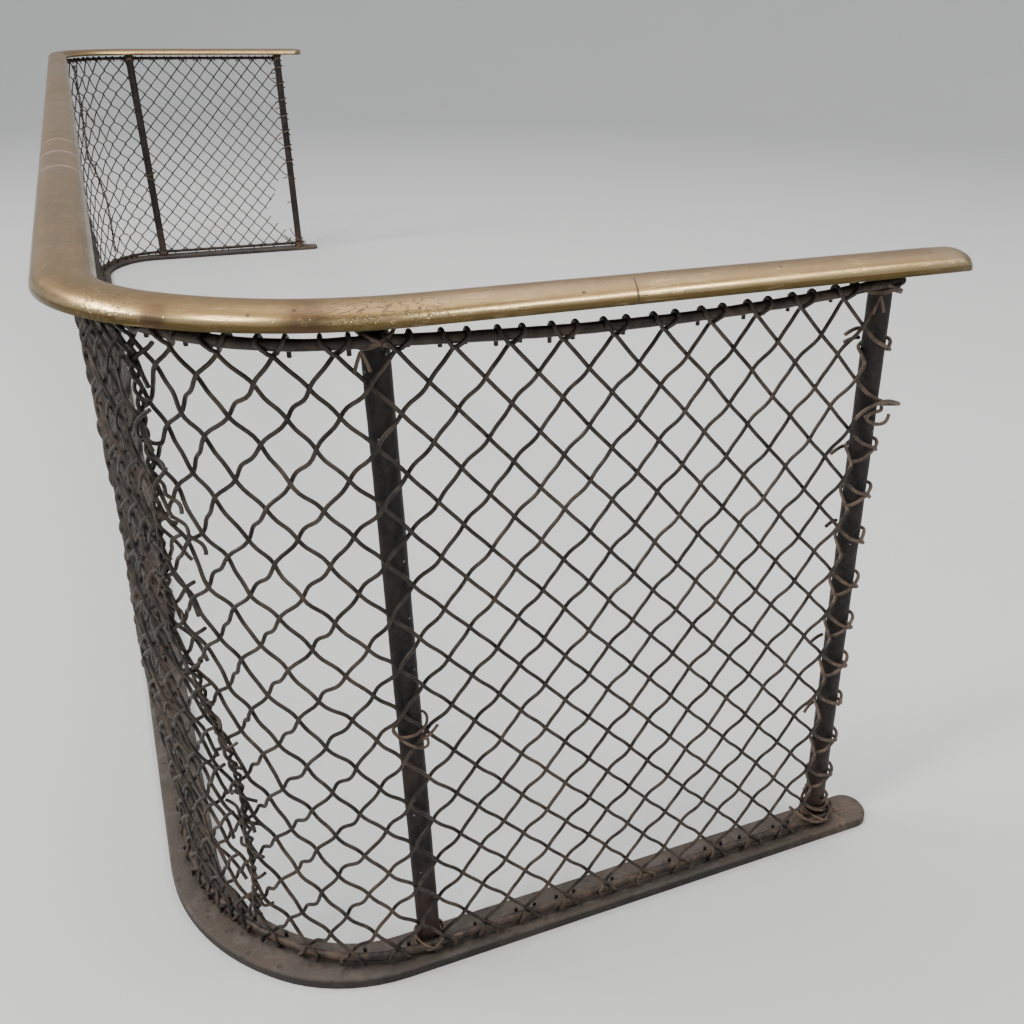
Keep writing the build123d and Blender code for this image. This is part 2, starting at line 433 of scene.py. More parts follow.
    # The hooks: round the outside of the rod, over it, and a short tail behind; at the bottom
    # some wires stop in front of the rod as a foot on the bar instead
    chance = add(tree, "FunctionNodeRandomValue",
                 {2: 0.0, 3: 1.0, "ID": wire_number, "Seed": take["Seed"]}, data_type="FLOAT")
    luck = Number(tree, chance.outputs[1])
    reach = take["Rod Radius"] + take["Wire Radius"]
    bend_share = 0.72
    for rod_point, over, sign, foot in (
        (high, (row - rows) / hook, 1, 0.0),
        (low, -row / hook, -1, luck.sum("LESS_THAN", 0.45)),
    ):
        over = over.clamp()
        stop = HOOK_TURN - (HOOK_TURN - FOOT_TURN) * foot
        angle = (over / bend_share).clamp() * (HOOK_START + stop) - HOOK_START
        after = ((over - bend_share) / (1 - bend_share)).clamp() * take["Hook Tail"]
        tail = after * (0.35 + luck) * (1 - foot) * (1.0 if sign > 0 else 0.5)
        height = (angle.sum("SINE") * reach - tail) * sign
        spread = angle.sum("COSINE") * reach + after * foot * 0.4
        bent = vector(tree, "ADD", vector(tree, "SCALE", out, spread), lift(tree, height))
        bent = vector(tree, "ADD", rod_point, bent)
        blend = add(tree, "ShaderNodeMix", {"Factor": over.ramp(0.0, 0.17)}, data_type="VECTOR")
        plug(tree, blend.inputs[4], position)
        plug(tree, blend.inputs[5], bent)
        position = blend.outputs[1]
    moved = add(tree, "GeometryNodeSetPosition", {"Position": position})

    # Cut off what runs past the end posts, and the torn patch beside the last one
    past_end = run.sum("LESS_THAN", take["Start Run"]) + run.sum("GREATER_THAN", take["Stop Run"])
    up = level * NOISE_HEIGHT
    above = (take["Tear Top"] - up) / (take["Tear Top"] - take["Tear Apex"])
    tear = take["Tear Width"] * above.sum("MINIMUM", up / take["Tear Apex"]).clamp()
    torn = run.sum("GREATER_THAN", length - tear)
    store = add(tree, "GeometryNodeCaptureAttribute", {"Geometry": many.outputs[0]}, domain="POINT")
    store.capture_items.new("FLOAT", "Doomed")
    plug(tree, store.inputs["Doomed"], (past_end + torn).sum("GREATER_THAN", 0.5))
    plug(tree, moved.inputs["Geometry"], store.outputs["Geometry"])
    gone = Number(tree, store.outputs["Doomed"]).sum("GREATER_THAN", 0.5)
    left = add(tree, "GeometryNodeDeleteGeometry",
               {"Geometry": moved.outputs[0], "Selection": gone}, domain="POINT")
    ring = add(tree, "GeometryNodeCurvePrimitiveCircle",
               {"Resolution": take["Sides"], "Radius": take["Wire Radius"]})
    solid = add(tree, "GeometryNodeCurveToMesh",
                {"Curve": left.outputs[0], "Profile Curve": ring.outputs[0], "Fill Caps": True})
    real = add(tree, "GeometryNodeRealizeInstances", {"Geometry": solid.outputs[0]})
    coat = add(tree, "GeometryNodeSetMaterial",
               {"Geometry": real.outputs[0], "Material": take["Material"]})
    end = add(tree, "NodeGroupOutput")
    plug(tree, end.inputs[0], coat.outputs[0])
    return tree


def run_tree(tree, inputs):
    """Plain mesh that a geometry tree makes from these named inputs."""
    holder = bpy.data.objects.new(tree.name, bpy.data.meshes.new(tree.name))
    bpy.context.scene.collection.objects.link(holder)
    modifier = holder.modifiers.new("make", "NODES")
    modifier.node_group = tree
    names = {s.name: s.identifier for s in tree.interface.items_tree if s.in_out == "INPUT"}
    for name, value in inputs.items():
        modifier[names[name]] = value
    graph = bpy.context.evaluated_depsgraph_get()
    mesh = bpy.data.meshes.new_from_object(holder.evaluated_get(graph))
    bpy.data.objects.remove(holder)
    return mesh


def join(name, meshes, material):
    """One piece from several plain meshes."""
    points, faces = [], []
    for mesh in meshes:
        start = len(points)
        points += [v.co.copy() for v in mesh.vertices]
        faces += [tuple(start + v for v in f.vertices) for f in mesh.polygons]
    joined = bpy.data.meshes.new(name)
    joined.from_pydata(points, [], faces)
    return finish_mesh(name, joined, material)


def rod_sag(run, total):
    """How far the top rod hangs below its bound places, a distance along the U."""
    ends = END_Y - CORNER_Y
    rest = min(run, total - run)
    if rest > ends:
        return 0.9 * MM * math.sin((rest - ends) / (total / 2 - ends) * math.pi) ** 2
    if run > total / 2:
        return 0.0
    share = rest / ends
    return 3.4 * MM * (1 - (2 * share - 1) ** 2) - 2.0 * MM * (1 - share) ** 3


def rods_guide():
    """The two rods' centre lines as a curve that the weave follows: bottom, then top."""
    curve = bpy.data.curves.new("rods guide", "CURVE")
    curve.dimensions = "3D"
    for front, z, sags in ((LOW_ROD_FRONT, LOW_ROD_Z, False), (TOP_ROD_FRONT, TOP_ROD_Z, True)):
        path = PlanPath(ROD_OFFSET, front, ROD_BEND, END_Y)
        marks = stations(path.length, 6 * MM, 6 * MM, 2)
        spline = curve.splines.new("POLY")
        spline.points.add(len(marks) - 1)
        for point, run in zip(spline.points, marks):
            place, _ = path.at(run)
            point.co = (place.x, place.y, z - (rod_sag(run, path.length) if sags else 0), 1)
    guide = bpy.data.objects.new("rods guide", curve)
    bpy.context.scene.collection.objects.link(guide)
    return guide


def woven_wire(material):
    """The mesh in five pieces and a lap, each two families of wires that lean opposite ways.

    Returns the wires' cut ends beside the end posts.
    """
    tree = weave_tree()
    guide = rods_guide()
    path = PlanPath(ROD_OFFSET, LOW_ROD_FRONT, ROD_BEND, END_Y)
    last_wire = math.ceil(path.length / CELL) + 6
    whole = (WIRE_END, path.length - WIRE_END)
    corner_run = path.steps[0][0] + path.steps[1][0]
    lap = path.steps[0][0] + 74 * MM, path.steps[0][0] + 118 * MM
    lap_wires = math.floor(lap[0] / CELL) - 6, math.ceil(lap[1] / CELL) + 6
    parts = {
        "woven_wire_right": ((-6, 21), whole, 7, 7, ("mesh_side_right", "mesh_corner_right")),
        "woven_wire_front_right": ((21, 40), whole, 5, 6, ("mesh_front",)),
        "woven_wire_front_middle": ((40, 63), whole, 4, 6, ()),
        "woven_wire_front_left": ((63, 82), whole, 4, 6, ()),
        "woven_wire_left": ((82, last_wire), whole, 6, 6, ("mesh_side_left", "mesh_corner_left")),
        "woven_wire_lap_right": (lap_wires, lap, 6, 6, ()),
    }
    ends = []
    for name, ((first, last), (start, stop), steps, sides, nodes) in parts.items():
        laps = "lap" in name
        families = []
        for lean, crimp, ripple, low_ripple in ((1, 0.4, 0.02, 0.13), (-1, -0.85, 0.21, 0.05)):
            families.append(run_tree(tree, {
                "Rods": guide, "Wires": last - first,
                "First Wire": first + (0.62 if laps else 0.17),
                "Lean": float(lean), "Rows": ROWS, "Steps": steps, "Sides": sides, "Cell": CELL,
                "Length": path.length, "Start Run": start, "Stop Run": stop,
                "Wire Radius": WIRE, "Rod Radius": ROD, "Apex Drop": APEX_DROP,
                "Crimp": crimp * MM, "Ripple": ripple * MM, "Low Ripple": low_ripple * MM,
                "Wander": (2.2 if laps else 1.1) * MM, "Corner Dent": 3 * MM, "Corner Run": corner_run,
                "Belly": 2.6 * MM, "Proud": (1.2 if laps else 0.0) * MM, "Hook Rows": HOOK_ROWS,
                "Hook Tail": 2.8 * MM, "Tear Width": 40 * MM, "Tear Apex": 45 * MM,
                "Tear Top": 112 * MM, "Seed": 8 if laps else 3, "Material": material,
            }))
        ends += [end for mesh in families for end in cut_ends(mesh)]
        keep(join(name, families, material), "mesh_wire", *nodes)
    bpy.data.objects.remove(guide)
    return ends


def cut_ends(mesh):
    """Places and directions of the wires that were cut off beside an end post."""
    found = []
    for face in mesh.polygons:
        sloping = abs(face.normal.y) > 0.3 and abs(face.normal.z) > 0.2
        beside_post = END_Y - WIRE_END - 5 * MM < face.center.y < END_Y
        clear = LOW_ROD_Z + 9 * MM < face.center.z < TOP_ROD_Z - 9 * MM
        if len(face.vertices) > 4 and sloping and beside_post and clear:
            found.append((face.center.copy(), face.normal.copy()))
    return sorted(found, key=lambda end: end[0].z)


# ---------------------------------------------------------------- loose wire ends and bindings


OPEN_LOOP_Z = 0.203  # height of the one long loop that stands open, on the right end post


def beside_post(side, u, v, z):
    """Place beside an end post: u towards the open back, v outwards, both from its centre."""
    return Vector((side * (POST_X + v * MM), END_Y + u * MM, z))


def post_loops(ends, material):
    """Cut wires turned round the end posts: falling ones hook on, rising ones come round the back."""
    luck = random.Random(11)
    for side_name, side in SIDES.items():
        paths = []
        mine = [end for end in ends if end[0].x * side > 0]
        heights = [end[0].z for end in mine if end[1].z > 0 and side > 0]
        open_loop = min(heights, key=lambda z: abs(z - OPEN_LOOP_Z), default=None)
        for place, way in mine:
            z = place.z
            u, v = (place.y - END_Y) / MM, (side * place.x - POST_X) / MM
            start = [place - way * 2 * MM, place]
            shift = luck.uniform(-0.8, 0.8)
            if way.z < 0:
                bends = [(u + 3, v + 0.1, -2.8), (0.5, 6.7, -5.6 + shift), (4.6, 5.0, -7.8),
                         (6.4, 1.2, -8.8 + shift), (5.6, -2.6, -8.6)]
                if luck.random() < 0.5:
                    bends += [(3.6, -5.3, -7.4 - shift)]
            elif z == open_loop:
                bends = [(u + 3, v + 0.6, 2.5), (-1, 7.9, 4.4), (5, 6.6, 4.6), (11, 3.8, 2.2),
                         (16.8, 0.6, -0.4), (15.6, -1.4, -0.9), (9.5, -2.2, -0.4), (6.6, 1.6, 0.2),
                         (3.0, 6.6, 0.6), (-3.5, 7.6, 1.0), (-5.2, 7.6, -1.0), (-2.5, 7.6, -3.4),
                         (3, 7.0, -5.0), (8, 4.8, -4.8), (9.8, 2.8, -3.2)]
            else:
                bends = [(-7.0, 4.2, 1.6), (-5.9, 0.2, 3.2), (-4.2, -4.4, 4.4 + shift), (0.2, -6.0, 5.6),
                         (4.5, -4.3, 6.8), (6.3, -0.2, 7.6), (5.2, 4.4, 7.4 + shift), (1.2, 6.7, 5.0)]
                if luck.random() < 0.75:
                    bends += [(-3.2, 7.1, 2.4 + shift), (-7.0, 5.6, 0.9), (-8.3, 4.0, 1.3 + shift)]
            paths.append(start + [beside_post(side, bu, bv, z + dz * MM) for bu, bv, dz in bends])
        # Short cut ends that turn away before the post
        for z in (0.243, 0.236, 0.196, 0.158, 0.104, 0.071):
            z += luck.uniform(-3, 3) * MM
            far = luck.uniform(9.5, 13)
            paths.append([beside_post(side, -3.6, -4.7, z), beside_post(side, -7, -3.4, z + MM),
                          beside_post(side, -far, -1.6, z - luck.uniform(0, 2) * MM)])
        # Wires wound round the foot, and two bent ones beside it
        coil = [(6.6 - 0.5 * math.sin(t * 2.1), t) for t in (i * math.tau / 8 for i in range(22))]
        paths.append([beside_post(side, r * math.sin(t), r * math.cos(t), 0.0175 - t * 0.75 * MM)
                      for r, t in coil])
        for bent in (
            ((-19, 7.2, 21), (-12, 7.9, 12.5), (-5, 9.3, 8.5), (2, 8.8, 6.8), (7, 6.0, 7.5),
             (8.4, 2.0, 11.5)),
            ((-10, 5.6, 30), (-7.2, 2.2, 24), (-3.4, -5.6, 16.5), (3.6, -6.0, 12.5), (7.6, -1.5, 9.5),
             (10.5, 3.0, 6.2)),
        ):
            paths.append([beside_post(side, u, v, up * MM) for u, v, up in bent])
        keep(tube(f"end_post_loops_{side_name}", paths, WIRE, 8, material), "mesh_wire")


def rod_lashings(material):
    """Binding wire crossed over each rod and post, its ends twisted together."""
    luck = random.Random(5)
    for name, node, z, swing in (
        ("top_lashings", "top_rod_ties", TOP_ROD_Z, 2.9 * MM),
        ("bottom_lashings", "bottom_rod_ties", LOW_ROD_Z, 2.6 * MM),
    ):
        paths = []
        for centre in POSTS.values():
            side = 1 if centre.x > 0 else -1
            rod_away = ARM_X + ROD_OFFSET - POST_X
            back = POST_RADIUS + TIE_WIRE + 0.1 * MM
            front = rod_away + ROD + TIE_WIRE + 0.1 * MM
            for turn in range(4):
                slope = 1 if turn % 2 else -1
                grow = (turn // 2) * 0.9 * MM
                loop = []
                for i in range(15):
                    t = math.tau * i / 14 + luck.uniform(-0.04, 0.04)
                    outside = math.cos(t) > 0
                    v = (front if outside else back) * math.cos(t)
                    u = (back + grow * 0.3) * math.sin(t) * (1.12 if outside else 1.0)
                    rise = slope * swing * math.sin(t) + (turn - 1.5) * 0.35 * MM
                    loop.append(Vector((centre.x + side * (v + grow * 0.3), centre.y + u, z + rise)))
                paths.append(loop)
            # The twisted ends, bent down at the top and along the bar at the bottom
            if name == "top_lashings":
                knot = Vector((centre.x + side * (front - 1.5 * MM), centre.y - 6 * MM, z - 2.5 * MM))
                for lean in (-1.5, 1.2):
                    paths.append([knot, knot + Vector((side * 0.5, lean, -2.5)) * MM,
                                  knot + Vector((side * 0.3, lean * 1.8, -5.0 - abs(lean))) * MM])
            else:
                knot = Vector((centre.x + side * (front - 2 * MM), centre.y + 6 * MM, z + 1.0 * MM))
                paths.append([knot, knot + Vector((side * 0.5, 3, 1.2)) * MM,
                              knot + Vector((side * 0.2, 6, 0.2)) * MM])
        keep(tube(name, paths, TIE_WIRE, 6, material), "tie_wire", node)


def post_bands(material):
    """Loose tie part-way up each corner post, caught round a wire of the mesh."""
    paths = []
    height = (band_low.z + band_high.z) / 2 + 20 * MM
    for side in SIDES.values():
        for turn, (drop, lean) in enumerate(((0, 2.5), (5.5, -3.5))):
            loop = []
            for i in range(15):
                t = math.tau * i / 14
                reach = POST_RADIUS + (0.9 + 0.25 * math.sin(2 * t + turn)) * MM
                outer = 1.45 if math.cos(t) > 0 else 1.0
                loop.append(Vector((side * (POST_X + reach * outer * math.cos(t)),
                                    CORNER_Y + reach * 1.12 * math.sin(t),
                                    height - drop * MM + lean * math.sin(t) * MM)))
            paths.append(loop)
        tip = Vector((side * (POST_X + 7.8 * MM), CORNER_Y + 3 * MM, height - 3 * MM))
        paths.append([tip, tip + Vector((side * 0.6, 3, 2.2)) * MM,
                      tip + Vector((side * 0.2, 5.5, 5.2)) * MM])
    keep(tube("corner_post_ties", paths, TIE_WIRE, 6, material), "tie_wire", "corner_post_bands")


# How far past the start of the bend, in millimetres, and how high, all the way down the lacing
LACING = ((80, 0.255), (82, 0.21), (90, 0.145), (79, 0.13), (66, 0.09), (67, 0.05), (70, 0.017))


def corner_lacing(material):
    """Wires of the two lengths of mesh twisted together round each corner, with their cut tails."""
    luck = random.Random(23)
    low, high = (PlanPath(ROD_OFFSET, front, ROD_BEND, END_Y)
                 for front in (LOW_ROD_FRONT, TOP_ROD_FRONT))

    def on_bend(side, past, z, proud):
        run = low.steps[0][0] + past * MM
        place, out = low.at(run)
        place = place.lerp(high.at(run)[0], z / TOP_ROD_Z) + out * proud
        return Vector((side * place.x, place.y, z)), Vector((side * out.x, out.y, 0))

    for side_name, side in SIDES.items():
        paths = []
        line = []
        for (past0, z0), (past1, z1) in zip(LACING, LACING[1:]):
            count = max(2, round(math.hypot(past1 - past0, (z1 - z0) / MM) / 2.2))
            line += [(past0 + (past1 - past0) * i / count, z0 + (z1 - z0) * i / count)
                     for i in range(count)]
        for strand in (0, 1):
            path = []
            for i, (past, z) in enumerate(line):
                turn = i * 1.35 + strand * math.pi
                wide = 1.15 * MM * (1 + 0.3 * math.sin(i * 0.37))
                place, out = on_bend(side, past, z, 1.6 * MM + wide * math.cos(turn))
                along = Vector((-out.y, out.x, 0))
                path.append(place + along * wide * math.sin(turn))
            paths.append(path)
        # Cut ends of the mesh wires, each turned once round its neighbour
        for past, z in line[2::6]:
            for way in (-1, 1):
                if luck.random() < (0.25 if side > 0 else 0.7):
                    continue
                place, out = on_bend(side, past, z, 1.4 * MM)
                along = Vector((-out.y, out.x, 0)) * way * side
                reach = luck.uniform(3, 7.5)
                rise = luck.uniform(-5, 5)
                path = [place]
                for share, near, far, lifted, droop in (
                    (0.35, 0.4, 1.6, 0.5, 0), (0.7, -0.6, 1.8, 1, 0), (1, -2.4, 0.6, 1, 3),
                ):
                    proud = luck.uniform(near, far)
                    up = rise * lifted + (luck.uniform(-droop, droop) if droop else 0)
                    path.append(place + (along * share * reach + out * proud + Vector((0, 0, up))) * MM)
                paths.append(path)
        # Extra twists where the joined wires were doubled
        doubled = ((61, 0.192), (69, 0.205), (74, 0.218), (80, 0.160), (70, 0.118), (62, 0.072))
        for past, z in doubled[:6 if side > 0 else 2]:
            path = []
            for i in range(9):
                t = i * 1.5
                place, out = on_bend(side, past + i * 1.6, z + (i - 4) * 1.3 * MM,
                                     (1.6 + 0.9 * math.cos(t)) * MM)
                along = Vector((-out.y, out.x, 0))
                path.append(place + along * 0.9 * MM * math.sin(t))
            paths.append(path)
        keep(tube(f"corner_lacing_{side_name}", paths, 0.72 * MM, 6, material), "mesh_wire",
             f"mesh_lacing_{side_name}")


# ---------------------------------------------------------------- bars, rail, rods and posts


def end_width(half, radius, distance):
    """Half width of a bar whose plan corner is rounded, this far from its end."""
    if distance >= radius:
        return half
    return half - radius + math.sqrt(max(radius ** 2 - (radius - distance) ** 2, 0))


def base_bar(material):
    """Flat iron bar on the floor, a little uneven along its edges."""
    path = PlanPath(0, 0, BASE_BEND, BASE_END_Y)
    radius = 8 * MM
    edge = 1.3 * MM
    rings = []
    for run in stations(path.length, 5 * MM, radius, 8):
        point, out = path.at(run)
        half = end_width(BASE_HALF, radius, min(run, path.length - run)) - 0.1 * MM
        outline = [(-half, 0), (half, 0)]
        for corner in (1, -1):
            for i in range(4):
                a = math.pi / 2 * i / 3
                if corner < 0:
                    a = math.pi / 2 - a
                outline.append((corner * (half - edge + edge * math.cos(a)),
                                BASE_TOP - edge + edge * math.sin(a)))
        ring = []
        for across, z in outline:
            place = point + out * across
            place.z = z
            if z > 0:
                swell = rough(place, 55, 0) * 0.22 + rough(place, 190, 5) * 0.08
                place += out * (swell * MM if across > 0 else -swell * MM) * 0.5
                place.z += (rough(place, 80, 9) - 0.9) * 0.12 * MM
            ring.append(place)
        rings.append(ring)
    keep(loft("base_bar_forged", rings, material), "base_iron", "base_bar")


def brass_rail(material):
    """Half-round brass sheath with folded lips, its two ends hammered shut."""
    path = PlanPath(0, 0, RAIL_BEND, RAIL_END_Y)
    inner_radius, outer_radius = 15 * MM, 5 * MM
    dome_steps = 28
    rings = []
    for run in stations(path.length, 4 * MM, END_SOLID, 14):
        point, out = path.at(run)
        rest = min(run, path.length - run)
        half_out = end_width(RAIL_HALF, outer_radius, rest)
        half_in = end_width(RAIL_HALF, inner_radius, rest)
        fall = 1 - 0.30 * (1 - min(rest / (8 * MM), 1)) ** 2.2
        dome = (RAIL_DOME - 0.12 * MM) * fall
        skin = []
        for i in range(dome_steps + 1):
            a = math.pi * i / dome_steps
            half = half_out if a < math.pi / 2 else half_in
            skin.append((half * math.cos(a), dome * math.sin(a) ** 0.94))
        hollow = rest > END_SOLID - 0.5 * MM
        lining = []
        for i in range(dome_steps + 1):
            a = math.pi * (1 - i / dome_steps)
            if hollow:
                across = (RAIL_HALF - RAIL_WALL) * math.cos(a)
                height = max((RAIL_DOME - RAIL_WALL) * math.sin(a), RAIL_WALL)
            else:
                across = LIP_HALF * 0.9 * math.cos(a) * half_out / RAIL_HALF
                height = 0.05 * MM
            lining.append((across, height))
        lip_out, lip_in = min(LIP_HALF, half_out * 0.8), min(LIP_HALF, half_in * 0.8)
        lip = RAIL_WALL if hollow else 0.05 * MM
        outline = skin + [(-lip_in, 0), (-lip_in, lip)] + lining + [(lip_out, lip), (lip_out, 0)]
        hammered = 1 + 4 * max(0, 1 - rest / (24 * MM))
        ring = []
        for across, height in outline:
            place = point + out * across
            place.z = RAIL_Z + height
            crest = height / RAIL_DOME
            dent = rough(place, 26, 2) * 0.10 + rough(place, 90, 7) * 0.03
            dent += rough(place, 170, 1) * 0.02 * hammered
            dent = dent * (1 if hammered == 1 else 1.3) - 0.05 * (hammered - 1)
            place.z += min(dent, 0.1) * crest * MM
            ring.append(place)
        rings.append(ring)
    piece = loft("brass_rail_sheath", rings, material)
    keep(piece, "brass", "brass_rail", "rail_cap_left", "rail_cap_right")


def mesh_rods(material):
    """The two rods that the wire hooks over, past the end posts at each end."""
    spare = ROD_END_Y - END_Y
    for name, node, front, z, sags in (
        ("top_rod_bent", "top_mesh_rod", TOP_ROD_FRONT, TOP_ROD_Z, True),
        ("bottom_rod_bent", "bottom_mesh_rod", LOW_ROD_FRONT, LOW_ROD_Z, False),
    ):
        path = PlanPath(ROD_OFFSET, front, ROD_BEND, ROD_END_Y)
        inner = path.length - 2 * spare
        rings = []
        for run in stations(path.length, 4 * MM, 1.2 * MM, 3):
            point, out = path.at(run)
            height = z - (rod_sag(min(max(run - spare, 0), inner), inner) if sags else 0)
            rest = min(run, path.length - run)
            radius = ROD * min(1, 0.45 + 0.55 * math.sqrt(min(rest / (1.2 * MM), 1)))
            ring = []
            for i in range(10):
                a = math.tau * i / 10
                place = point + out * (radius * math.cos(a))
                place.z = height + radius * math.sin(a)
                scale = 1 + 0.06 * rough(place, 260, 4) + 0.05 * rough(place, 700, 8)
                place = point + out * (radius * scale * math.cos(a))
                place.z = height + radius * scale * math.sin(a)
                ring.append(place)
            rings.append(ring)
        keep(loft(name, rings, material), "rod_iron", node)


def posts(material):
    """Round iron posts, drawn a little unevenly, thicker where they are upset at the foot."""
    count = 80
    for name, centre in POSTS.items():
        rings = []
        for r in range(count + 1):
            z = BASE_TOP + (RAIL_Z - BASE_TOP) * r / count
            foot = math.exp(-(z - BASE_TOP) / (2.5 * MM))
            ring = []
            for i in range(20):
                a = math.tau * i / 20
                way = Vector((math.cos(a), math.sin(a), 0))
                spot = centre + way * POST_RADIUS
                spot.z = z
                scale = 0.97 + 0.018 * rough(spot, 60, 3) + 0.02 * rough(spot, 240, 6) + 0.12 * foot
                ring.append(Vector((centre.x, centre.y, z)) + way * (POST_RADIUS * scale))
            rings.append(ring)
        keep(loft(name + "_bar", rings, material), "post_iron", name)


# ---------------------------------------------------------------- effects shared by the materials


def effect(name, inputs, outputs):
    """Shader node group with these inputs and outputs; returns it, its inputs and its end."""
    tree = bpy.data.node_groups.new(name, "ShaderNodeTree")
    for label, kind, value in inputs:
        socket(tree, label, kind, value)
    for label in outputs:
        socket(tree, label, "Float", out=True)
    given = add(tree, "NodeGroupInput")
    take = {s.name: Number(tree, s) for s in given.outputs if s.name}
    return tree, take, add(tree, "NodeGroupOutput")


def noise_value(tree, place, scale, detail, roughness=0.6, distortion=0.0):
    node = add(tree, "ShaderNodeTexNoise", {"Vector": place, "Scale": scale, "Detail": detail,
                                            "Roughness": roughness, "Distortion": distortion})
    return Number(tree, node.outputs[0])


def mottle_effect():
    """Soft irregular patches, and a finer grain of the same kind."""
    tree, take, end = effect("mottle", (
        ("Vector", "Vector", None), ("Scale", "Float", 30.0), ("Cover", "Float", 0.5),
        ("Edge", "Float", 0.1),
    ), ("Mask", "Fine"))
    patches = noise_value(tree, take["Vector"], take["Scale"], 7.0, 0.62)
    level = 0.70 - take["Cover"] * 0.4
    plug(tree, end.inputs[0], patches.ramp(level - take["Edge"], level + take["Edge"]))
    plug(tree, end.inputs[1], noise_value(tree, take["Vector"], take["Scale"] * 9, 4.0))
    return tree


def pit_effect():
    """Small scattered pits, 1 inside a pit."""
    tree, take, end = effect("pits", (
        ("Vector", "Vector", None), ("Scale", "Float", 200.0), ("Size", "Float", 0.3),
        ("Share", "Float", 0.2),
    ), ("Mask",))
    cells = add(tree, "ShaderNodeTexVoronoi", {"Vector": take["Vector"], "Scale": take["Scale"]})
    colour = add(tree, "ShaderNodeSeparateColor", {0: cells.outputs["Color"]})
    chosen = Number(tree, colour.outputs[0]).sum("GREATER_THAN", 1 - take["Share"])
    inside = 1 - Number(tree, cells.outputs["Distance"]).ramp(take["Size"] * 0.5, take["Size"])
    plug(tree, end.inputs[0], inside * chosen)
    return tree


def scratch_effect():
    """Thin lines along the first direction of a map, in patches."""
    tree, take, end = effect("scratches", (
        ("Vector", "Vector", None), ("Scale", "Float", 300.0), ("Stretch", "Float", 12.0),
        ("Share", "Float", 0.4),
    ), ("Mask",))
    shorter = take["Stretch"].sum("POWER", -1.0)
    squeeze = add(tree, "ShaderNodeCombineXYZ", {0: shorter, 1: 1.0, 2: 1.0})
    drawn = vector(tree, "MULTIPLY", take["Vector"], squeeze.outputs[0])
    lines = noise_value(tree, drawn, take["Scale"], 2.0, 0.5, 0.3)
    scratch_line_and_highlight_band = 1 - ((lines - 0.5).size() * 30).clamp()
    patch = noise_value(tree, take["Vector"], take["Scale"] * 0.12, 2.0)
    level = 0.70 - take["Share"] * 0.4
    plug(tree, end.inputs[0], scratch_line_and_highlight_band * patch.ramp(level, level + 0.08))
    return tree


def hammer_effect():
    """Uneven height of worked metal."""
    tree, take, end = effect("hammered", (
        ("Vector", "Vector", None), ("Scale", "Float", 80.0), ("Grain", "Float", 0.3),
    ), ("Height",))
    broad = noise_value(tree, take["Vector"], take["Scale"], 3.0)
    fine = noise_value(tree, take["Vector"], take["Scale"] * 6, 5.0)
    plug(tree, end.inputs[0], broad + fine * take["Grain"])
    return tree


class Finish:
    """A material being built: its tree, its shader, its places and the shared effects."""

    def __init__(self, name, effects):
        self.material = bpy.data.materials.new(name)
        self.material.use_nodes = True
        self.tree = self.material.node_tree
        self.shader = self.tree.nodes["Principled BSDF"]
        self.effects = effects
        self.place = add(self.tree, "ShaderNodeTexCoord").outputs["Object"]
        parts = add(self.tree, "ShaderNodeSeparateXYZ", {0: self.place})
        self.x, self.y, self.z = (Number(self.tree, s) for s in parts.outputs)

    def effect(self, name, output, place=None, **values):
        node = add(self.tree, "ShaderNodeGroup", {"Vector": place or self.place, **values},
                   node_tree=self.effects[name])
        return Number(self.tree, node.outputs[output])

    def blend(self, factor, first, second):
        """Colour between two colours; each is three numbers or a socket."""
        node = add(self.tree, "ShaderNodeMix", {"Factor": factor}, data_type="RGBA")
        for slot, colour in ((6, first), (7, second)):
            plug(self.tree, node.inputs[slot], (*colour, 1) if isinstance(colour, tuple) else colour)
        return node.outputs[2]

    def coats(self, colour, *coats):
        """Colour with each coat's shade laid over it by its mask, in turn."""
        for mask, shade in coats:
            colour = self.blend(mask, colour, shade)
        return colour

    def near(self, centre, radius):
        """1 at a place, fading to 0 at this distance from it."""
        away = vector(self.tree, "SUBTRACT", self.place, centre)
        away = Number(self.tree, vector(self.tree, "LENGTH", away))
        return 1 - away.ramp(radius * 0.35, radius)

    def done(self, colour, roughness, metallic, height, depth):
        plug(self.tree, self.shader.inputs["Base Color"], colour)
        plug(self.tree, self.shader.inputs["Roughness"], roughness)
        plug(self.tree, self.shader.inputs["Metallic"], metallic)
        bump = add(self.tree, "ShaderNodeBump", {"Strength": 1.0, "Distance": depth, "Height": height})
        plug(self.tree, self.shader.inputs["Normal"], bump.outputs[0])
        return self.material


def on_near_corner(inside_arm, behind_front, up):
    """Place on the rail's right-hand corner, in millimetres from the bars' centre lines and its foot."""
    return ARM_X - inside_arm * MM, FRONT_Y + behind_front * MM, RAIL_Z + up * MM


